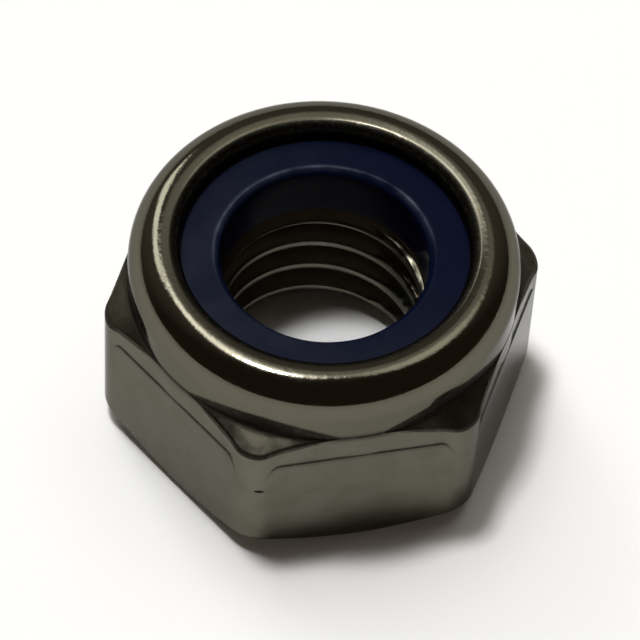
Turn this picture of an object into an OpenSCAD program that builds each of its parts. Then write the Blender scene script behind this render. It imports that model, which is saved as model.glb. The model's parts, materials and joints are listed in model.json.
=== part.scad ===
// Self-locking nut: a hexagon steel body whose collar is rolled in over a plastic locking ring.
// The origin is the centre of the bearing face. +Z runs up the thread, and two corners lie on X.
// All sizes are in millimetres and angles in degrees.

/* [Thread] */
// Nominal diameter of the thread
thread_d = 8; // [6:0.1:10]
// Pitch of the thread
thread_pitch = 1.25; // [0.75:0.05:1.5]
// How far the countersink at the bearing face opens past the thread's nominal radius
countersink_over = 0.05; // [0:0.01:0.3]
// Height of the chamfer where the thread runs out under the ring
runout_h = 0.35; // [0.1:0.05:0.6]

/* [Hexagon] */
// Width across flats
across_flats = 13; // [12:0.1:16]
// Height of the hexagon, from the bearing face to the foot of the collar
hex_h = 5.81; // [5:0.01:6.2]
// Radius of the rounded corners of the hexagon
corner_r = 1.2; // [0.3:0.1:2.5]
// How far the circle of the bearing face stands in from the flats
face_inset = 0.4; // [0.1:0.05:0.8]
// Slope of the turned chamfers above and below the flats
chamfer_angle = 30; // [15:1:35]

/* [Collar] */
// Height of the whole nut, to the top of the rolled lip
nut_h = 7.95; // [7.6:0.05:10]
// How far the collar stands in from the flats
collar_step = 0.02; // [0.01:0.01:0.3]
// Wall of the collar, which is also the thickness of its lip
collar_wall = 0.75; // [0.5:0.05:0.9]
// Outside radius of the roll that turns the collar in
crimp_r = 1.22; // [1:0.02:1.5]
// Level land on top of the lip, between the roll and the rounded inner edge
lip_land = 0.04; // [0.02:0.01:0.3]
// Radius of the rounded inner edge of the lip
lip_edge_r = 0.45; // [0.2:0.05:0.5]

/* [Locking ring] */
// How much narrower than the thread the bore of the ring is, so that it grips the bolt
ring_grip = 1.1; // [0.6:0.05:1.5]
// Thickness of the ring
ring_h = 2.26; // [1.6:0.01:2.8]
// Chamfer on both inner edges of the ring
ring_chamfer = 0.2; // [0.05:0.05:0.3]
// Clearance between the ring and its seat, all round
seat_gap = 0.02; // [0.01:0.01:0.05]

/* [Hidden] */
$fn = 96;

// Number of flats
hex_sides = 6;
// Depth of an internal thread, as a share of its pitch, by the metric thread form
thread_depth_share = 0.54127;
// A cut runs past the face that it opens by this much
cut_over = 0.2;
// The arc of a corner is this much larger than its cut, so that it meets both flats in clean edges
arc_over = 0.0005;

minor_r = thread_d / 2 - thread_depth_share * thread_pitch;
countersink_r = thread_d / 2 + countersink_over;
countersink_h = countersink_r - minor_r;

half_turn = 180 / hex_sides;
sharp_corner_r = across_flats / 2 / cos(half_turn);
corner_centre_r = (across_flats / 2 - corner_r) / cos(half_turn);
face_r = across_flats / 2 - face_inset;
face_chamfer_h = (sharp_corner_r - face_r) * tan(chamfer_angle);

collar_r = across_flats / 2 - collar_step;
top_chamfer_h = (sharp_corner_r - collar_r) * tan(chamfer_angle);
roll_centre_r = collar_r - crimp_r;
roll_centre_z = nut_h - crimp_r;
edge_centre_r = roll_centre_r - lip_land;
lip_r = edge_centre_r - lip_edge_r;

seat_r = collar_r - collar_wall;
seat_top_z = nut_h - collar_wall;
seat_floor_z = seat_top_z - ring_h - 2 * seat_gap;
seat_corner_r = crimp_r - collar_wall;

ring_r = seat_r - seat_gap;
ring_bore_r = (thread_d - ring_grip) / 2;
ring_top_z = seat_top_z - seat_gap;
ring_floor_z = seat_floor_z + seat_gap;
ring_corner_r = seat_corner_r - seat_gap;

// Half section of a disc whose upper outer edge is round
module round_topped_section(outer_r, floor_z, top_z, edge_r) {
    height = top_z - floor_z;
    translate([0, floor_z]) square([outer_r - edge_r, height]);
    translate([0, floor_z]) square([outer_r, height - edge_r]);
    translate([outer_r - edge_r, top_z - edge_r]) circle(edge_r);
}

// Hexagon with round corners
module hexagon() {
    difference() {
        circle(sharp_corner_r, $fn = hex_sides);
        for (side = [0 : hex_sides - 1]) rotate(side * 360 / hex_sides) translate([corner_centre_r, 0])
            corner_cut();
    }
}

// What rounding takes off one corner, seen from the centre of its arc, with the corner on X
module corner_cut() {
    reach = corner_r + cut_over;
    difference() {
        polygon([
            [0, 0],
            [reach * cos(half_turn), -reach * sin(half_turn)],
            [2 * reach, 0],
            [reach * cos(half_turn), reach * sin(half_turn)]
        ]);
        circle(corner_r + arc_over);
    }
}

// End of the collar: the outside roll, the land on top and the rounded inner edge of the lip
module lip_section() {
    foot_z = roll_centre_z - crimp_r;
    translate([lip_r, foot_z]) square([roll_centre_r - lip_r, 2 * crimp_r - lip_edge_r]);
    translate([edge_centre_r, foot_z]) square([lip_land, 2 * crimp_r]);
    translate([edge_centre_r, nut_h - lip_edge_r]) circle(lip_edge_r);
    intersection() {
        translate([roll_centre_r, roll_centre_z]) circle(crimp_r);
        translate([edge_centre_r, foot_z]) square([lip_land + crimp_r, 2 * crimp_r]);
    }
}

// Outside of the turned blank: both chamfers, the reach of the corners and the collar with its lip
module blank_section() {
    polygon([
        [0, 0],
        [face_r, 0],
        [sharp_corner_r, face_chamfer_h],
        [sharp_corner_r, hex_h - top_chamfer_h],
        [collar_r, hex_h],
        [collar_r, roll_centre_z],
        [0, roll_centre_z]
    ]);
    lip_section();
}

// Thread bore, with the countersink below it and the run-out above
module bore_section() {
    polygon([
        [0, -cut_over],
        [countersink_r + cut_over, -cut_over],
        [minor_r, countersink_h],
        [minor_r, seat_floor_z - runout_h],
        [minor_r + runout_h + cut_over, seat_floor_z + cut_over],
        [0, seat_floor_z + cut_over]
    ]);
}

// Steel body: hexagon bar turned to the section of the nut, with the collar rolled over the ring
module nut_body() {
    color("#6b685f")
    intersection() {
        linear_extrude(nut_h) hexagon();
        rotate_extrude() difference() {
            blank_section();
            bore_section();
            round_topped_section(seat_r, seat_floor_z, seat_top_z, seat_corner_r);
        }
    }
}

// Plastic ring, held down by the lip, in which the bolt forms its own thread
module locking_ring() {
    color("#20284a")
    rotate_extrude() difference() {
        round_topped_section(ring_r, ring_floor_z, ring_top_z, ring_corner_r);
        polygon([
            [0, ring_floor_z - cut_over],
            [ring_bore_r + ring_chamfer + cut_over, ring_floor_z - cut_over],
            [ring_bore_r, ring_floor_z + ring_chamfer],
            [ring_bore_r, ring_top_z - ring_chamfer],
            [ring_bore_r + ring_chamfer + cut_over, ring_top_z + cut_over],
            [0, ring_top_z + cut_over]
        ]);
    }
}

nut_body();
locking_ring();
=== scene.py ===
"""Looks of the self-locking nut: a steel body with a cut thread and a rolled lip, and its plastic ring.

Sizes below are in millimetres, in the frame of the CAD model, and angles are written in degrees.
"""

import json
import math

import bpy
import numpy as np
from mathutils import Matrix, Vector


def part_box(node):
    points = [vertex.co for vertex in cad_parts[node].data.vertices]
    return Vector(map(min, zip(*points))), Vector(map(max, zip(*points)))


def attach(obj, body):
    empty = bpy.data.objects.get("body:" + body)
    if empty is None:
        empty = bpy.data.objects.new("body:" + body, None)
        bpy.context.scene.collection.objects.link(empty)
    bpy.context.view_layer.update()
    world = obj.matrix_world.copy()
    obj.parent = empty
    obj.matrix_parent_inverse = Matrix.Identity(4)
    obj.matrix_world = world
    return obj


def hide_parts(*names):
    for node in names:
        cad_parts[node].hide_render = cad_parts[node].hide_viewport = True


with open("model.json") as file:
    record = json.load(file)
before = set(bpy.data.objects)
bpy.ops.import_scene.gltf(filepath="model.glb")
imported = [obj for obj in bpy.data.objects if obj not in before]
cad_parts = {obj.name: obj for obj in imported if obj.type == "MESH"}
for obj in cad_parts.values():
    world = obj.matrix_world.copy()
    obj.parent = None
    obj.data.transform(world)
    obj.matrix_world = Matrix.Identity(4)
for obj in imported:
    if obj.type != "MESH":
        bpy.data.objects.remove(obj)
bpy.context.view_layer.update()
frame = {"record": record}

MM = 0.001


def node_box(name):
    """Lowest and highest corner of a CAD node, in millimetres."""
    low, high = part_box(name)
    return np.array(low) / MM, np.array(high) / MM


def mount_radius(name):
    """Radius of one of the record's round mounts, in millimetres."""
    mount = next(m for m in frame["record"]["mounts"] if m["name"] == name)
    return mount["dims"]["r_mm"]


# Sizes that the frame gives
body_low, body_high = node_box("nut_body")
ring_low, ring_high = node_box("locking_ring")
ACROSS_FLATS = body_high[1] - body_low[1]
NUT_H = body_high[2]
CORNER_REACH = body_high[0]
RING_R = ring_high[0]
RING_FLOOR_Z = ring_low[2]
RING_TOP_Z = ring_high[2]
MINOR_R = mount_radius("thread")
RING_BORE_R = mount_radius("locking_bore")

# Sizes that repeat the CAD model's own
HEX_SIDES = 6
HEX_H = 5.81
FACE_INSET = 0.4
CHAMFER_SLOPE = math.tan(math.radians(30))
COLLAR_STEP = 0.02
COLLAR_WALL = 0.75
CRIMP_R = 1.22
LIP_LAND = 0.04
LIP_EDGE_R = 0.45
THREAD_R = 4.0
PITCH = 1.25
COUNTERSINK_R = 4.05
RUNOUT_H = 0.35
SEAT_GAP = 0.02
RING_CHAMFER = 0.2

# Sizes that follow from those
FLAT_R = ACROSS_FLATS / 2
HALF_SIDE = math.radians(180 / HEX_SIDES)
SHARP_R = FLAT_R / math.cos(HALF_SIDE)
CORNER_R = (SHARP_R - CORNER_REACH) / (1 / math.cos(HALF_SIDE) - 1)
CORNER_CENTRE_R = (FLAT_R - CORNER_R) / math.cos(HALF_SIDE)
FACE_R = FLAT_R - FACE_INSET
COLLAR_R = FLAT_R - COLLAR_STEP
ROLL_R = COLLAR_R - CRIMP_R
ROLL_Z = NUT_H - CRIMP_R
EDGE_R = ROLL_R - LIP_LAND
LIP_R = EDGE_R - LIP_EDGE_R
SEAT_R = COLLAR_R - COLLAR_WALL
SEAT_TOP_Z = NUT_H - COLLAR_WALL
SEAT_FLOOR_Z = RING_FLOOR_Z - SEAT_GAP
SEAT_CORNER_R = CRIMP_R - COLLAR_WALL
RING_CORNER_R = SEAT_CORNER_R - SEAT_GAP

# Density of the meshes: steps along each stretch, and rows at shares of the way along it
FLAT_STEPS = 48
CORNER_STEPS = 16
ROLL_STEPS = 24
CROWN_STEPS = 16
LIP_EDGE_STEPS = 18
SEAT_STEPS = 8
EASE_STEPS = 4
RING_COLUMNS = 360
SUPPORT_SHARES = (0.04, 0.25, 0.5, 0.75, 0.96)
COLLAR_SHARES = np.linspace(0.04, 1, 15)
RING_TOP_SHARES = (0.2, 0.4, 0.6, 0.8, 0.93)
RING_BORE_SHARES = (0.25, 0.5, 0.75)

# An edge is eased over no more than this share of the stretches beside it
EASE_SHARE = 0.45

# Points as close as this are one point
WELD = 1e-5


# Outline of the hexagon

def hexagon_columns():
    """Directions of the mesh columns: even along each flat, and along the arc of each corner."""
    half_flat = (FLAT_R - CORNER_R) * math.tan(HALF_SIDE)
    along = np.linspace(-half_flat, half_flat, FLAT_STEPS + 1)[1:-1]
    turn = np.linspace(-HALF_SIDE, HALF_SIDE, CORNER_STEPS + 1)
    corner = np.arctan2(CORNER_R * np.sin(turn), CORNER_CENTRE_R + CORNER_R * np.cos(turn))
    flat = HALF_SIDE + np.arctan2(along, FLAT_R)
    side = np.concatenate([corner, flat])
    return np.concatenate([side + 2 * HALF_SIDE * k for k in range(HEX_SIDES)])


def from_flat(theta):
    """Angle from the middle of the nearest flat."""
    return np.mod(theta, 2 * HALF_SIDE) - HALF_SIDE


def hexagon_radius(theta):
    """Radius of the hexagon with its round corners."""
    off = np.abs(from_flat(theta))
    to_corner = HALF_SIDE - off
    across = CORNER_CENTRE_R * np.sin(to_corner)
    arc = CORNER_CENTRE_R * np.cos(to_corner) + np.sqrt(np.maximum(CORNER_R**2 - across**2, 0))
    on_flat = FLAT_R * np.tan(off) <= (FLAT_R - CORNER_R) * math.tan(HALF_SIDE)
    return np.where(on_flat, FLAT_R / np.cos(off), arc)


# Soft steps and bells, for shapes and masks

def smooth_step(low, high, value):
    """0 below low, 1 above high, and a soft rise between them."""
    t = np.clip((value - low) / (high - low), 0, 1)
    return t * t * (3 - 2 * t)


def bell(distance, width):
    """1 at no distance, falling softly to 0 over about two widths."""
    return np.exp(-np.square(distance / width))


# Rows of points, each a radius and a height for every column

def row(radius, height, theta):
    """One row of the section: radius and height for each column."""
    shape = np.zeros_like(theta)
    return np.stack([radius + shape, height + shape], axis=-1)


def arc_rows(centre_r, centre_z, radius, start, end, steps, theta):
    """Rows along an arc of the section, from one angle to another."""
    turns = np.radians(np.linspace(start, end, steps + 1))
    return [row(centre_r + radius * math.cos(a), centre_z + radius * math.sin(a), theta) for a in turns]


def eased_corner(before, corner, after, size, steps=EASE_STEPS, most=EASE_SHARE):
    """Rows that round off a corner of the section, over no more than a share of the edges beside it."""
    to_before, to_after = before - corner, after - corner
    length_before = np.linalg.norm(to_before, axis=-1, keepdims=True)
    length_after = np.linalg.norm(to_after, axis=-1, keepdims=True)
    reach = np.minimum(size, most * np.minimum(length_before, length_after))
    start = corner + to_before / length_before * reach
    end = corner + to_after / length_after * reach
    shares = np.linspace(0, 1, steps + 1)
    return [(1 - t) ** 2 * start + 2 * t * (1 - t) * corner + t**2 * end for t in shares]


def between(first, last, shares):
    """Rows part of the way from one row to another."""
    return [first + (last - first) * s for s in shares]


# Meshes from rows

def grid_faces(rows, columns, offset, wrap_shift):
    """Quads of a grid that closes on itself, where the last column meets the first some rows further on."""
    faces = []
    index = np.arange(rows * columns).reshape(rows, columns) + offset
    for k in range(rows - 1):
        for j in range(columns - 1):
            faces.append((index[k, j], index[k, j + 1], index[k + 1, j + 1], index[k + 1, j]))
        over = k + wrap_shift
        if over + 1 < rows:
            faces.append((index[k, -1], index[over, 0], index[over + 1, 0], index[k + 1, -1]))
    return faces


def around(rows, theta):
    """Points in space of rows of radii and heights."""
    section = np.array(rows)
    x = section[..., 0] * np.cos(theta)
    y = section[..., 0] * np.sin(theta)
    return np.stack([x, y, section[..., 1]], axis=-1).reshape(-1, 3)


def welded(points, faces):
    """Merges points that coincide and drops the faces that this closes up."""
    keys = np.round(points / WELD).astype(np.int64)
    _, first, inverse = np.unique(keys, axis=0, return_index=True, return_inverse=True)
    inverse = inverse.reshape(-1)
    kept = []
    for face in faces:
        corners = list(dict.fromkeys(inverse[list(face)].tolist()))
        if len(corners) > 2:
            kept.append(corners)
    return points[first], kept


def mesh_object(name, points, faces, masks):
    """A smooth object from points in millimetres, with a number for each point in each mask."""
    mesh = bpy.data.meshes.new(name)
    mesh.from_pydata((points * MM).tolist(), [], faces)
    mesh.update()
    for key, values in masks.items():
        layer = mesh.attributes.new(key, "FLOAT", "POINT")
        layer.data.foreach_set("value", np.asarray(values, np.float32))
    mesh.polygons.foreach_set("use_smooth", np.ones(len(mesh.polygons), bool))
    piece = bpy.data.objects.new(name, mesh)
    bpy.context.scene.collection.objects.link(piece)
    return piece


# Steel body

# Forming ledge on each flat: its middle, how tall and deep it is, where along the flat it starts to bend
# down, how sharply, and where it fades out
LEDGE_Z = 4.76
LEDGE_H = 0.08
LEDGE_DEPTH = 0.045
LEDGE_BEND_AT = 2.7
LEDGE_BEND = 3.2
LEDGE_FADE = (2.75, 3.35)

# The flats stand at least this far out from the collar
COLLAR_PROUD = 0.004

# Crown of the lip: its radius, how softly it is rounded, and how far the lip falls inwards from it
CROWN_R = 5.49
CROWN_EASE = 0.25
CROWN_EASE_SHARE = 0.95
CROWN_DROP = 0.03
LIP_EDGE_START = 93

# How far the edges of the section are eased, from the countersink outwards, up and in to the bore again
COUNTERSINK_EASE = 0.04
FACE_EASE = 0.05
FLAT_EASE = 0.09
LEDGE_EASE = 0.015
SHOULDER_EASE = 0.14
FOOT_EASE = 0.015
LIP_EASE = 0.02
SEAT_EASE = 0.06
RIM_EASE = 0.04

# Thread: half of its crest and its flank as shares of the pitch, the height of a crest on the X axis, how
# its edges are rounded, and how far below the seat it starts to fade and is gone
HALF_CREST = 1 / 8
FLANK = 5 / 16
THREAD_PHASE = 0.58
THREAD_BLUR = np.linspace(-0.06, 0.06, 9)
THREAD_FADE_H = 0.55
THREAD_END_H = 0.1

# Rows of one turn of the thread, close together at the edges of its crest and root
THREAD_ROWS = (
    0, 0.08, 0.11, 0.14, 0.18, 0.28, 0.39, 0.43, 0.46,
    0.54, 0.57, 0.61, 0.72, 0.82, 0.86, 0.89, 0.92,
)

# Turns of rows past both ends of the bore, since each row climbs by a pitch on its way round
SPARE_BELOW = 2
SPARE_ABOVE = 1

# The rows of the thread meet those of the shell this far inside the bore's two ends
BORE_TRIM = 0.05


def ledge(theta):
    """Height and depth of the forming ledge that runs along each flat and bends down at its ends."""
    along = FLAT_R * np.abs(np.tan(from_flat(theta)))
    height = LEDGE_Z - LEDGE_BEND * np.maximum(along - LEDGE_BEND_AT, 0) ** 2
    depth = LEDGE_DEPTH * (1 - smooth_step(*LEDGE_FADE, along))
    return height, depth


def hexagon_rows(theta):
    """Rows from the countersink's rim across the bearing face and up the flats to the foot of the roll."""
    hexagon = hexagon_radius(theta)
    ledge_z, ledge_depth = ledge(theta)
    upper = np.maximum(hexagon - ledge_depth, COLLAR_R + COLLAR_PROUD)
    corners = [
        row(COUNTERSINK_R - BORE_TRIM, BORE_TRIM, theta),
        row(COUNTERSINK_R, 0, theta),
        row(FACE_R, 0, theta),
        row(hexagon, (hexagon - FACE_R) * CHAMFER_SLOPE, theta),
        row(hexagon, ledge_z - LEDGE_H / 2, theta),
        row(upper, ledge_z + LEDGE_H / 2, theta),
        row(upper, HEX_H - (upper - COLLAR_R) * CHAMFER_SLOPE, theta),
        row(COLLAR_R, HEX_H, theta),
        row(COLLAR_R, ROLL_Z, theta),
    ]
    eases = (COUNTERSINK_EASE, FACE_EASE, FLAT_EASE, LEDGE_EASE, LEDGE_EASE, SHOULDER_EASE, FOOT_EASE)
    rows = [corners[0]]
    for k, size in enumerate(eases, start=1):
        eased = eased_corner(corners[k - 1], corners[k], corners[k + 1], size)
        if k > 1:
            rows += between(rows[-1], eased[0], SUPPORT_SHARES)
        rows += eased
    rows += between(rows[-1], corners[-1], COLLAR_SHARES)
    return rows


def lip_rows(theta):
    """Rows up the roll, over the crown where the lip was pressed level, and round its inner edge."""
    across, up = CROWN_R - ROLL_R, CRIMP_R
    crown_turn = math.asin(CRIMP_R / math.hypot(across, up)) - math.atan2(across, up)
    roll = arc_rows(ROLL_R, ROLL_Z, CRIMP_R, 0, math.degrees(crown_turn), ROLL_STEPS, theta)
    edge_z = NUT_H - LIP_EDGE_R - CROWN_DROP
    edge = arc_rows(EDGE_R, edge_z, LIP_EDGE_R, LIP_EDGE_START, 180, LIP_EDGE_STEPS, theta)
    crown = row(CROWN_R, NUT_H, theta)
    return roll + eased_corner(roll[-1], crown, edge[0], CROWN_EASE, CROWN_STEPS, CROWN_EASE_SHARE) + edge


def seat_rows(theta):
    """Rows from the end of the lip round the seat of the ring to the run-out of the thread."""
    arc = arc_rows(ROLL_R, ROLL_Z, SEAT_CORNER_R, 90, 0, SEAT_STEPS, theta)
    lip_end = row(LIP_R, NUT_H - LIP_EDGE_R, theta)
    lip_corner = row(LIP_R, SEAT_TOP_Z, theta)
    floor_corner = row(SEAT_R, SEAT_FLOOR_Z, theta)
    rim = row(MINOR_R + RUNOUT_H, SEAT_FLOOR_Z, theta)
    bore = row(MINOR_R + RUNOUT_H - BORE_TRIM, SEAT_FLOOR_Z - BORE_TRIM, theta)
    rows = eased_corner(lip_end, lip_corner, arc[0], LIP_EASE)
    rows += arc
    rows += eased_corner(arc[-1], floor_corner, rim, SEAT_EASE)
    rows += eased_corner(floor_corner, rim, bore, RIM_EASE)
    rows.append(bore)
    return rows


def turns_above_crest(height, theta):
    """Pitches above a crest of the thread, which climbs by one pitch each time round."""
    return (height - THREAD_PHASE) / PITCH - theta / (2 * math.pi)


def from_crest(turn):
    """Share of the pitch from the nearest crest: above it is positive, below it negative."""
    return np.mod(turn + 0.5, 1) - 0.5


def thread_radius(turn):
    """Radius of the thread's flank, crest or root, where turn counts pitches up from a crest."""
    share = np.abs(from_crest(turn))
    return MINOR_R + (THREAD_R - MINOR_R) * np.clip((share - HALF_CREST) / FLANK, 0, 1)


def soft_thread_radius(turn):
    """The thread's radius with slightly rounded edges."""
    return np.mean([thread_radius(turn + b) for b in THREAD_BLUR], axis=0)


def bore_rows(theta):
    """Rows that climb with the thread from under the bearing face to the run-out, held to both ends."""
    low_z, high_z = BORE_TRIM, SEAT_FLOOR_Z - BORE_TRIM
    first = math.floor((low_z - THREAD_PHASE) / PITCH) - SPARE_BELOW
    last = math.ceil((high_z - THREAD_PHASE) / PITCH) + SPARE_ABOVE
    turns = np.concatenate([k + np.array(THREAD_ROWS) for k in range(first, last)])
    rows = []
    for turn in turns:
        height = THREAD_PHASE + PITCH * (turn + theta / (2 * math.pi))
        height = np.clip(height, low_z, high_z)
        depth = soft_thread_radius(turns_above_crest(height, theta)) - MINOR_R
        depth *= 1 - smooth_step(high_z - THREAD_FADE_H, high_z - THREAD_END_H, height)
        radius = np.maximum(MINOR_R + depth, COUNTERSINK_R - height)
        radius = np.maximum(radius, MINOR_R + RUNOUT_H - (SEAT_FLOOR_Z - height))
        rows.append(np.stack([radius, height], axis=-1))
    return rows


# Masks of the steel body

# How near to a surface a point counts as on it, and how far past the countersink the bore is taken to reach
ON_SURFACE = 0.02
ON_SHOULDER = 0.08
ON_FLAT = 0.1
BORE_OVER = 0.01

# Turned surfaces fade towards the flats' edge and the collar, and rolled ones over the foot of the collar
TURNED_FADE = (0.02, 0.12)
SHOULDER_FADE = (0, 0.1)
ROLLED_FADE_H = 0.05
CROWN_W = 0.25

# Painted shade on the lip's inner wall, the foot of the collar, the outline of the shoulder and the forming
# ledge, and a painted dark reflection in a lens on the collar over each corner
LIP_WALL_FADE = (EDGE_R - 0.16, EDGE_R - 0.06)
REFLECTION_FOOT_H = 0.05
REFLECTION_H = 0.7
REFLECTION_FADE_H = 0.1
REFLECTION_REACH = math.radians(25)
FOOT_W = 0.1
OUTLINE_W = 0.15
OUTLINE_FADE = (0.05, 0.25)
LEDGE_LINE_W = 0.055

# How dark each of them is painted, and the darker roots of the thread and the painted shade on the rest of
# the shoulder, from 0 to 1
FOOT_SHADE = 0.9
REFLECTION_DARKNESS = 0.9
LIP_WALL_SHADE = 0.97
ROOT_DARKENING = 0.2
SHOULDER_SHADE = 0.35
LEDGE_SHADE = 0.9
OUTLINE_SHADE = 0.9

# Torn flank of the thread: where it lies above a crest and how wide it is, as shares of the pitch, and
# where along X it fades in
TORN_AT = 0.05
TORN_W = 0.07
TORN_FADE = (2.2, 3.1)


def dark_reflection_share(radius, height, theta):
    """1 in the painted dark reflection, a lens on the foot of the collar over each corner of the hexagon.
    """
    from_corner = HALF_SIDE - np.abs(from_flat(theta))
    reflection_h = REFLECTION_FOOT_H + REFLECTION_H * np.maximum(1 - np.square(from_corner / REFLECTION_REACH), 0)
    on_collar = (np.abs(radius - COLLAR_R) < ON_SURFACE) * (height > HEX_H - ON_SURFACE)
    return on_collar * (1 - smooth_step(reflection_h - REFLECTION_FADE_H, reflection_h, height - HEX_H))


def body_masks(points):
    """Where the steel is turned, rolled, threaded or torn, and where painted shade, a painted dark
    reflection or darker roots are put, as a number from 0 to 1 at each point.
    """
    radius = np.hypot(points[:, 0], points[:, 1])
    height = points[:, 2]
    theta = np.mod(np.arctan2(points[:, 1], points[:, 0]), 2 * math.pi)
    inside = hexagon_radius(theta) - radius
    ledge_z, ledge_depth = ledge(theta)

    from_upper_cone = np.abs(height - HEX_H + (radius - COLLAR_R) * CHAMFER_SLOPE)
    above_lower_cone = height - (radius - FACE_R) * CHAMFER_SLOPE
    shoulder = (from_upper_cone < ON_SURFACE) * smooth_step(*TURNED_FADE, inside)
    shoulder *= smooth_step(*SHOULDER_FADE, radius - COLLAR_R)
    chamfer = (above_lower_cone < ON_SURFACE) * smooth_step(*TURNED_FADE, inside)

    in_bore = (radius < COUNTERSINK_R + BORE_OVER) & (height < SEAT_FLOOR_Z)
    above_crest = from_crest(turns_above_crest(height, theta)) - HALF_CREST
    torn = in_bore * bell(above_crest - TORN_AT, TORN_W) * smooth_step(*TORN_FADE, points[:, 0])
    # The roots of the thread are painted darker.
    roots = np.where(in_bore, np.clip((radius - MINOR_R) / (THREAD_R - MINOR_R), 0, 1), 0)

    # Painted shade in the crease at the foot of the collar.
    foot = bell(np.hypot(radius - COLLAR_R, height - HEX_H), FOOT_W)
    # Painted shade on the lip's inner wall, a near-black band under its edge.
    lip_wall = (1 - smooth_step(*LIP_WALL_FADE, radius)) * (height > SEAT_FLOOR_Z)
    # Painted shade along the forming ledge, under its overhang.
    line = (inside < ON_FLAT) * bell(height - ledge_z, LEDGE_LINE_W) * ledge_depth / LEDGE_DEPTH
    # Painted shade along the lower outline of the shoulder.
    outline = (from_upper_cone < ON_SHOULDER) * bell(inside, OUTLINE_W)
    outline *= smooth_step(*OUTLINE_FADE, inside + radius - COLLAR_R)
    darkened = [
        FOOT_SHADE * foot,
        REFLECTION_DARKNESS * dark_reflection_share(radius, height, theta),
        LIP_WALL_SHADE * lip_wall,
        ROOT_DARKENING * roots,
        # painted shade over the rest of the turned shoulder
        SHOULDER_SHADE * shoulder,
        LEDGE_SHADE * line,
        OUTLINE_SHADE * outline,
    ]
    return {
        "turned": np.maximum(shoulder, chamfer),
        "rolled": smooth_step(HEX_H, HEX_H + ROLLED_FADE_H, height),
        "crown": bell(radius - CROWN_R, CROWN_W) * (height > ROLL_Z),
        "threaded": in_bore.astype(float),
        "torn": torn,
        "dirty": np.maximum.reduce(darkened),
    }


def make_body():
    """The steel body as one closed mesh."""
    theta = hexagon_columns()
    columns = len(theta)
    shell = hexagon_rows(theta) + lip_rows(theta) + seat_rows(theta)
    bore = bore_rows(theta)
    points = np.vstack([around(shell, theta), around(bore, theta)])
    faces = grid_faces(len(shell), columns, 0, 0)
    bore_faces = grid_faces(len(bore), columns, len(shell) * columns, len(THREAD_ROWS))
    faces += [face[::-1] for face in bore_faces]
    points, faces = welded(points, faces)
    return mesh_object("nut_body_steel", points, faces, body_masks(points))


body = make_body()
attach(body, "root")
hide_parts("nut_body")


# Plastic ring

# Uneven inner edge: waves round the ring, the depth of the first, and the seed of their phases
BURR_COUNTS = (2, 3, 5, 9, 14)
BURR_SIZE = 0.011
BURR_SEED = 7

# How far its edges are eased
RING_EASE = 0.05
RING_EDGE_EASE = 0.08

# Masks: the pale line on the edge and where along Y it fades in, and the paler part of the top, which fades
# out along X, with Y counted for less
SCUFF_W = 0.05
SCUFF_FADE = (-1, 2)
PALE_DEPTH = 0.05
PALE_Y_DIVISOR = 3


def burr(theta):
    """Uneven line of the edge that the cutter left on the inside of the ring."""
    rng = np.random.default_rng(BURR_SEED)
    wave = np.zeros_like(theta)
    for count in BURR_COUNTS:
        wave += np.sin(count * theta + rng.uniform(0, 2 * math.pi)) / math.sqrt(count)
    return BURR_SIZE * wave


def ring_rows(theta):
    """Rows round the section of the ring, from its lower inner edge outwards and back."""
    wave = burr(theta)
    low = row(RING_BORE_R, RING_FLOOR_Z + RING_CHAMFER, theta)
    low_face = row(RING_BORE_R + RING_CHAMFER, RING_FLOOR_Z, theta)
    low_edge = row(RING_R, RING_FLOOR_Z, theta)
    side = row(RING_R, ROLL_Z, theta)
    top = row(RING_BORE_R + RING_CHAMFER + wave, RING_TOP_Z, theta)
    edge = row(RING_BORE_R + wave / 2, RING_TOP_Z - RING_CHAMFER, theta)
    rows = eased_corner(low, low_face, low_edge, RING_EASE)
    rows += eased_corner(low_face, low_edge, side, RING_EASE)
    rows += arc_rows(ROLL_R, ROLL_Z, RING_CORNER_R, 0, 90, SEAT_STEPS, theta)
    rows += between(rows[-1], top, RING_TOP_SHARES)
    rows += eased_corner(rows[-1], top, edge, RING_EASE)
    rows += eased_corner(top, edge, low, RING_EDGE_EASE)
    rows += between(rows[-1], low, RING_BORE_SHARES)
    rows += eased_corner(rows[-1], low, low_face, RING_EASE)
    rows.append(rows[0])
    return rows


def ring_masks(points):
    """Where the plastic is scuffed, and where its top is paler, as a number from 0 to 1 at each point."""
    x, y, height = points.T
    edge_r = RING_BORE_R + RING_CHAMFER + burr(np.arctan2(y, x))
    from_edge = np.hypot(np.hypot(x, y) - edge_r, height - RING_TOP_Z)
    # The top is paler towards -X, with Y counted for less.
    on_top = smooth_step(RING_TOP_Z - PALE_DEPTH, RING_TOP_Z, height)
    return {
        "scuffed": bell(from_edge, SCUFF_W) * smooth_step(*SCUFF_FADE, y),
        "dusty": on_top * (1 - smooth_step(-RING_R, RING_R, x + y / PALE_Y_DIVISOR)),
    }


def make_ring():
    """The ring, with a slightly torn inner edge."""
    theta = np.linspace(0, 2 * math.pi, RING_COLUMNS, endpoint=False)
    rows = ring_rows(theta)
    points, faces = welded(around(rows, theta), grid_faces(len(rows), RING_COLUMNS, 0, 0))
    return mesh_object("locking_ring_plastic", points, faces, ring_masks(points))


ring = make_ring()
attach(ring, "root")
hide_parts("locking_ring")


# Nodes that the materials share

# Numbers of the colour sockets on Blender's Mix node
MIX_SHARE, MIX_FIRST, MIX_SECOND, MIX_RESULT = 0, 6, 7, 2

# Factors that keep only the level part of a vector, or only its height
LEVEL_PART = (1, 1, 0)
HEIGHT_PART = (0, 0, 1)


def new_material(name):
    """A new material, its tree and its Principled shader."""
    material = bpy.data.materials.new(name)
    material.use_nodes = True
    return material, material.node_tree, material.node_tree.nodes["Principled BSDF"]


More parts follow.
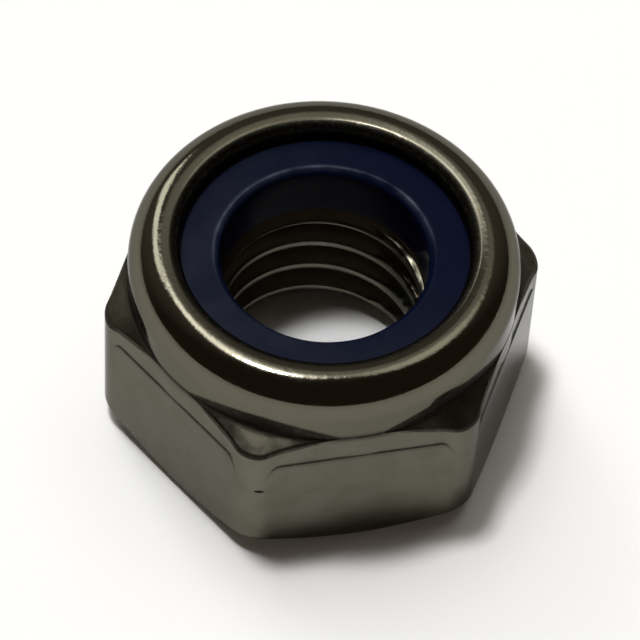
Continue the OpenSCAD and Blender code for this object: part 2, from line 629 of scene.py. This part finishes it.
def plug(tree, socket, value):
    """Sets a socket to a number or colour, or links it to another node's output."""
    if isinstance(value, bpy.types.NodeSocket):
        tree.links.new(value, socket)
    else:
        socket.default_value = value


def math_node(tree, operation, first, second=0.0):
    """Result of one sum on two numbers or outputs."""
    node = tree.nodes.new("ShaderNodeMath")
    node.operation = operation
    plug(tree, node.inputs[0], first)
    plug(tree, node.inputs[1], second)
    return node.outputs[0]


def vector_node(tree, operation, first, second=(0.0, 0.0, 0.0)):
    """Result of one sum on two vectors."""
    node = tree.nodes.new("ShaderNodeVectorMath")
    node.operation = operation
    plug(tree, node.inputs[0], first)
    plug(tree, node.inputs[1], second)
    return node.outputs["Value" if operation in ("LENGTH", "DOT_PRODUCT") else "Vector"]


def mapped(tree, value, from_low, from_high, to_low, to_high, shape="LINEAR"):
    """A value moved from one range to another and held to its ends."""
    node = tree.nodes.new("ShaderNodeMapRange")
    node.interpolation_type = shape
    for socket, number in zip(node.inputs, (value, from_low, from_high, to_low, to_high)):
        plug(tree, socket, number)
    return node.outputs[0]


def blended(tree, share, first, second):
    """A colour between two others."""
    node = tree.nodes.new("ShaderNodeMix")
    node.data_type = "RGBA"
    plug(tree, node.inputs[MIX_SHARE], share)
    plug(tree, node.inputs[MIX_FIRST], first)
    plug(tree, node.inputs[MIX_SECOND], second)
    return node.outputs[MIX_RESULT]


def noise(tree, vector, grain, detail):
    """Noise whose patches are about as wide as the grain, in millimetres."""
    node = tree.nodes.new("ShaderNodeTexNoise")
    plug(tree, node.inputs["Vector"], vector)
    node.inputs["Scale"].default_value = 1 / (grain * MM)
    node.inputs["Detail"].default_value = detail
    return node.outputs[0]


def mask(tree, name):
    """One of the mesh's own masks."""
    node = tree.nodes.new("ShaderNodeAttribute")
    node.attribute_name = name
    return node.outputs["Fac"]


def place(tree):
    """Place on the piece, in metres."""
    return tree.nodes.new("ShaderNodeTexCoord").outputs["Object"]


def bumped(tree, height, depth, below=None):
    """A normal that is roughened by a height from 0 to 1, as deep as given in millimetres."""
    node = tree.nodes.new("ShaderNodeBump")
    node.inputs["Distance"].default_value = depth * MM
    plug(tree, node.inputs["Height"], height)
    if below is not None:
        plug(tree, node.inputs["Normal"], below)
    return node.outputs[0]


# Steel

STEEL_COLOUR = (0.138, 0.132, 0.103, 1)
# Colour of the stain patches, also used for the painted shade on turned steel and a darker tone on rolled
# steel
STEEL_STAIN_AND_SHADE = (0.114, 0.106, 0.08, 1)
STEEL_EDGE_TINT = (0.56, 0.56, 0.56, 1)
# Colour of the painted shade, the painted dark reflection, the darker thread roots and the nick
DARK_COLOUR = (0.01, 0.009, 0.007, 1)

# The small nick beside the front corner
NICK_PLACE = (-3.33, -6.48, 3.46)
NICK_REACH = (0.19, 0.3, 0.085)
NICK_FADE = (0.6, 1.1)

# Noises by grain in millimetres and detail
STEEL_PATCHES = (0.9, 4)
STEEL_GRAINS = (0.16, 2)
STEEL_RINGS = (0.07, 2)
STEEL_STREAKS = (0.12, 2)
CROWN_DENTS = (0.24, 2)
THREAD_BURRS = (0.6, 1)
STREAK_STRETCH = (1, 1, 0.12)

# Ranges that a noise or a mask is moved from and to
STAIN_RANGE = (0.42, 0.68, 0, 0.8)
DARK_RANGE = (0.2, 0.5, 0.75, 1)
ROUGHNESS_RANGE = (0.3, 0.7, 0.13, 0.18)
WORN_ROUGHNESS = (0.35, 0.65, 0.04, 0.13)
DARK_ROUGHNESS = (0.4, 0.9, 0, 0.3)

# What being worked, rolled, threaded or turned does to colour, roughness and the way that gloss stretches.
# The darkening of worked steel is painted shade where it was turned, and a darker tone where it was rolled
WORKED_DARKENING = 0.8
ROLLED_POLISH = 0.06
THREAD_ROUGHNESS = 0.2
TURNED_STRETCH = 0.75
STRETCH_TURN = 0.25

# Depth of the relief in millimetres
GRAIN_DEPTH = 0.0018
DENT_DEPTH = 0.0065
RING_MARK_DEPTH = 0.0005
STREAK_DEPTH = 0.0006
BURR_DEPTH = 0.3


def section_place(tree, spot):
    """Distance from the axis and height, so that noise on them runs in rings."""
    level = vector_node(tree, "MULTIPLY", spot, LEVEL_PART)
    height = vector_node(tree, "DOT_PRODUCT", spot, HEIGHT_PART)
    node = tree.nodes.new("ShaderNodeCombineXYZ")
    plug(tree, node.inputs[0], vector_node(tree, "LENGTH", level))
    plug(tree, node.inputs[1], height)
    return node.outputs[0]


def nick_share(tree, spot):
    """1 in the small nick beside the front corner, 0 around it."""
    centred = vector_node(tree, "SUBTRACT", spot, tuple(c * MM for c in NICK_PLACE))
    scaled = vector_node(tree, "DIVIDE", centred, tuple(r * MM for r in NICK_REACH))
    return mapped(tree, vector_node(tree, "LENGTH", scaled), *NICK_FADE, 1, 0)


def steel():
    """Plain plated steel: bright where it was rolled, dull where it was turned, painted darker in the roots
    of its thread, with painted shade in its other grooves, on the lip's inner wall and on the turned
    shoulder, and a painted dark reflection on the collar over each corner.
    """
    material, tree, shader = new_material("plated_steel")
    spot = place(tree)
    turned, rolled = mask(tree, "turned"), mask(tree, "rolled")
    threaded, dirty = mask(tree, "threaded"), mask(tree, "dirty")
    crown, torn = mask(tree, "crown"), mask(tree, "torn")
    worked = math_node(tree, "MAXIMUM", rolled, turned)
    patches = noise(tree, spot, *STEEL_PATCHES)
    grains = noise(tree, spot, *STEEL_GRAINS)
    rings = noise(tree, section_place(tree, spot), *STEEL_RINGS)
    streaks = noise(tree, vector_node(tree, "MULTIPLY", spot, STREAK_STRETCH), *STEEL_STREAKS)

    stain_and_shade = mapped(tree, patches, *STAIN_RANGE)
    # Turned steel is darkened as painted shade, for the darker room that it reflects; rolled steel is
    # darkened too.
    stain_and_shade = math_node(tree, "MAXIMUM", stain_and_shade, math_node(tree, "MULTIPLY", worked, WORKED_DARKENING))
    colour = blended(tree, stain_and_shade, STEEL_COLOUR, STEEL_STAIN_AND_SHADE)
    # Painted shade, the painted dark reflection and darker thread roots, broken up by grain, with the nick
    # added
    darkened = math_node(tree, "MULTIPLY", dirty, mapped(tree, grains, *DARK_RANGE))
    darkened = math_node(tree, "MAXIMUM", darkened, nick_share(tree, spot))
    plug(tree, shader.inputs["Base Color"], blended(tree, darkened, colour, DARK_COLOUR))

    roughness = mapped(tree, patches, *ROUGHNESS_RANGE)
    polish = math_node(tree, "MULTIPLY", rolled, ROLLED_POLISH)
    worn = math_node(tree, "MULTIPLY", turned, mapped(tree, patches, *WORN_ROUGHNESS))
    cut = math_node(tree, "MULTIPLY", threaded, THREAD_ROUGHNESS)
    roughness = math_node(tree, "SUBTRACT", roughness, polish)
    for more in (worn, cut, mapped(tree, darkened, *DARK_ROUGHNESS)):
        roughness = math_node(tree, "ADD", roughness, more)
    plug(tree, shader.inputs["Roughness"], roughness)

    on_crown = math_node(tree, "MULTIPLY", crown, noise(tree, spot, *CROWN_DENTS))
    on_worked = math_node(tree, "MULTIPLY", rings, worked)
    on_flats = math_node(tree, "MULTIPLY", streaks, math_node(tree, "SUBTRACT", 1.0, rolled))
    on_torn = math_node(tree, "MULTIPLY", torn, noise(tree, spot, *THREAD_BURRS))
    normal = bumped(tree, grains, GRAIN_DEPTH)
    normal = bumped(tree, on_crown, DENT_DEPTH, normal)
    normal = bumped(tree, on_worked, RING_MARK_DEPTH, normal)
    normal = bumped(tree, on_flats, STREAK_DEPTH, normal)
    normal = bumped(tree, on_torn, BURR_DEPTH, normal)
    plug(tree, shader.inputs["Normal"], normal)

    around_axis = tree.nodes.new("ShaderNodeTangent")
    around_axis.direction_type = "RADIAL"
    around_axis.axis = "Z"
    plug(tree, shader.inputs["Tangent"], around_axis.outputs[0])
    plug(tree, shader.inputs["Anisotropic"], math_node(tree, "MULTIPLY", turned, TURNED_STRETCH))
    shader.inputs["Anisotropic Rotation"].default_value = STRETCH_TURN
    shader.inputs["Metallic"].default_value = 1
    shader.inputs["Specular Tint"].default_value = STEEL_EDGE_TINT
    return material


# Plastic

RING_COLOUR = (0.0022, 0.0037, 0.0145, 1)
RING_PALE = (0.012, 0.0145, 0.024, 1)
SCUFF_COLOUR = (0.075, 0.088, 0.125, 1)
RING_SPECULAR = 0.02

# Noises by grain in millimetres and detail. The streaks lie on a circle of 1 mm radius
PLASTIC_PATCHES = (1.4, 3)
PLASTIC_GRAINS = (0.12, 3)
PLASTIC_STREAKS = (0.025, 3)
SCUFF_GAPS = (1.3, 5)

# Ranges that a noise is moved from and to
PALE_PATCH_RANGE = (0.35, 0.65, 0.7, 1.2)
PALE_STREAK_RANGE = (0.3, 0.7, 0.7, 1)
SCUFF_RANGE = (0.36, 0.62, 0.05, 1)
PLASTIC_ROUGHNESS = (0.3, 0.7, 0.26, 0.34)

# Depth of the relief in millimetres
PLASTIC_GRAIN_DEPTH = 0.0012
PLASTIC_STREAK_DEPTH = 0.003


def plastic():
    """Dark blue polyamide whose face is paler towards -X and lightly streaked, with a pale torn edge."""
    material, tree, shader = new_material("blue_polyamide")
    spot = place(tree)
    outwards = vector_node(tree, "NORMALIZE", vector_node(tree, "MULTIPLY", spot, LEVEL_PART))
    on_circle = vector_node(tree, "MULTIPLY", outwards, (MM, MM, MM))
    streaks = noise(tree, on_circle, *PLASTIC_STREAKS)
    patches = noise(tree, spot, *PLASTIC_PATCHES)
    grains = noise(tree, spot, *PLASTIC_GRAINS)

    # The top of the ring is made paler towards -X, in patches and streaks.
    paleness = math_node(tree, "MULTIPLY", mask(tree, "dusty"), mapped(tree, patches, *PALE_PATCH_RANGE))
    paleness = math_node(tree, "MULTIPLY", paleness, mapped(tree, streaks, *PALE_STREAK_RANGE))
    colour = blended(tree, paleness, RING_COLOUR, RING_PALE)
    ragged = mapped(tree, noise(tree, spot, *SCUFF_GAPS), *SCUFF_RANGE)
    scuff = math_node(tree, "MULTIPLY", mask(tree, "scuffed"), ragged)
    plug(tree, shader.inputs["Base Color"], blended(tree, scuff, colour, SCUFF_COLOUR))

    plug(tree, shader.inputs["Roughness"], mapped(tree, patches, *PLASTIC_ROUGHNESS))
    normal = bumped(tree, grains, PLASTIC_GRAIN_DEPTH)
    plug(tree, shader.inputs["Normal"], bumped(tree, streaks, PLASTIC_STREAK_DEPTH, normal))
    shader.inputs["Specular IOR Level"].default_value = RING_SPECULAR
    return material


body.data.materials.append(steel())
ring.data.materials.append(plastic())


# Stage: a pale floor whose far rim rises, one soft lamp and a dim room with bright places

FLOOR_COLOUR = (0.9, 0.9, 0.9, 1)
FLOOR_ROUGHNESS = 0.9
FLOOR_FLAT_R = 350
FLOOR_FLAT_ROWS = (1e-6, 20, 60, 150, FLOOR_FLAT_R)
FLOOR_RIM_R = 700
FLOOR_RIM_H = 110
FLOOR_RIM_STEPS = 12
FLOOR_COLUMNS = 96


def floor_material():
    """Pale matt paper, which the light brings up to white and which takes the shadow."""
    material, _, shader = new_material("pale_floor")
    shader.inputs["Base Color"].default_value = FLOOR_COLOUR
    shader.inputs["Roughness"].default_value = FLOOR_ROUGHNESS
    shader.inputs["Specular IOR Level"].default_value = 0
    return material


def make_floor():
    """A flat disc with a rim that rises slowly, so that it closes the view from low angles too."""
    theta = np.linspace(0, 2 * math.pi, FLOOR_COLUMNS, endpoint=False)
    rows = [row(radius, 0, theta) for radius in FLOOR_FLAT_ROWS]
    for share in np.linspace(0, 1, FLOOR_RIM_STEPS + 1)[1:]:
        radius = FLOOR_FLAT_R + (FLOOR_RIM_R - FLOOR_FLAT_R) * share
        rows.append(row(radius, FLOOR_RIM_H * share**2, theta))
    points, faces = welded(around(rows, theta), grid_faces(len(rows), FLOOR_COLUMNS, 0, 0))
    return mesh_object("floor", points, faces, {})


floor = make_floor()
floor.data.materials.append(floor_material())

# The camera's place. Azimuth 0 looks along +Y, and positive turns to the right
CAMERA_AZIMUTH = 14.22
CAMERA_ELEVATION = 53.34
CAMERA_ROLL = 3.72
CAMERA_DISTANCE = 145.65
CAMERA_MIDDLE = (0, 0, 4.0)
CAMERA_AIM = (-0.08, -0.23, 3.82)
CAMERA_CLIP = 10
LENS = 245.0
SENSOR = 36.0

# The lamp: azimuth right of the camera's line and elevation, how wide it looks from the nut, its distance,
# and its level, which is what it alone gives a white surface that faces it
LAMP_AZIMUTH = -53
LAMP_ELEVATION = 78.5
LAMP_WIDTH = 8
LAMP_DISTANCE = 900
LAMP_LEVEL = 0.57

# The room: dark behind the camera and dim before it, between two cosines of the angle from its dim place.
# Then its bright places by azimuth, elevation, the radius that is all bright and the radius where the
# light ends, in degrees, and colour
ROOM_DARK = (0.055, 0.04, 0.029, 1)
ROOM_DIM = (0.2, 0.18, 0.155, 1)
ROOM_DIM_AT = (-10, 30)
ROOM_DIM_FADE = (0.3, 0.9)
ROOM_BRIGHT = (
    (-22, 66, 6, 16, (6.5, 6.5, 6.4, 1)),
    (-40, 75, 4, 14, (6, 6, 5.9, 1)),
    (-30, 26, 2, 8, (4.5, 4.5, 4.4, 1)),
    (-33, 36, 2, 10, (4.5, 4.5, 4.4, 1)),
    (-37, 47, 2, 11, (4.5, 4.5, 4.4, 1)),
    (14, 61, 4, 20, (0.7, 0.68, 0.62, 1)),
    (42, 66, 3, 17, (1.9, 1.85, 1.7, 1)),
)


def direction(azimuth, elevation):
    """Unit vector towards a point of the room, by its azimuth right of the camera's line."""
    a = math.radians(azimuth + CAMERA_AZIMUTH)
    e = math.radians(elevation)
    return Vector((math.sin(a) * math.cos(e), math.cos(a) * math.cos(e), math.sin(e)))


def make_lamp():
    """A soft square lamp that faces the nut."""
    distance = LAMP_DISTANCE * MM
    data = bpy.data.lights.new("lamp_key", "AREA")
    data.shape = "SQUARE"
    data.size = 2 * distance * math.tan(math.radians(LAMP_WIDTH / 2))
    data.energy = LAMP_LEVEL * math.pi**2 * distance**2
    lamp = bpy.data.objects.new("lamp_key", data)
    bpy.context.scene.collection.objects.link(lamp)
    towards = direction(LAMP_AZIMUTH, LAMP_ELEVATION)
    lamp.location = Vector(CAMERA_MIDDLE) * MM + towards * distance
    lamp.rotation_euler = towards.to_track_quat("Z", "Y").to_euler()


def make_world():
    """A dim room, lighter on the side that the camera faces, with soft bright places."""
    world = bpy.data.worlds.new("dim_room")
    world.use_nodes = True
    bpy.context.scene.world = world
    tree = world.node_tree
    heading = tree.nodes.new("ShaderNodeTexCoord").outputs["Generated"]
    facing = vector_node(tree, "DOT_PRODUCT", heading, tuple(direction(*ROOM_DIM_AT)))
    colour = blended(tree, mapped(tree, facing, *ROOM_DIM_FADE, 0, 1, "SMOOTHSTEP"), ROOM_DARK, ROOM_DIM)
    for azimuth, elevation, all_bright, end, bright in ROOM_BRIGHT:
        facing = vector_node(tree, "DOT_PRODUCT", heading, tuple(direction(azimuth, elevation)))
        limits = math.cos(math.radians(end)), math.cos(math.radians(all_bright))
        colour = blended(tree, mapped(tree, facing, *limits, 0, 1, "SMOOTHSTEP"), colour, bright)
    plug(tree, tree.nodes["Background"].inputs["Color"], colour)


def make_camera():
    """A long lens at the photo's angle."""
    data = bpy.data.cameras.new("camera")
    data.lens = LENS
    data.sensor_width = SENSOR
    data.sensor_fit = "HORIZONTAL"
    data.clip_start = CAMERA_CLIP * MM
    camera = bpy.data.objects.new("camera", data)
    bpy.context.scene.collection.objects.link(camera)
    back = -direction(0, -CAMERA_ELEVATION)
    camera.location = (Vector(CAMERA_MIDDLE) + back * CAMERA_DISTANCE) * MM
    away = camera.location - Vector(CAMERA_AIM) * MM
    turn = away.to_track_quat("Z", "Y").to_matrix()
    camera.rotation_euler = (turn @ Matrix.Rotation(math.radians(CAMERA_ROLL), 3, "Z")).to_euler()
    bpy.context.scene.camera = camera


make_lamp()
make_world()
make_camera()
bpy.context.scene.view_settings.view_transform = "Standard"
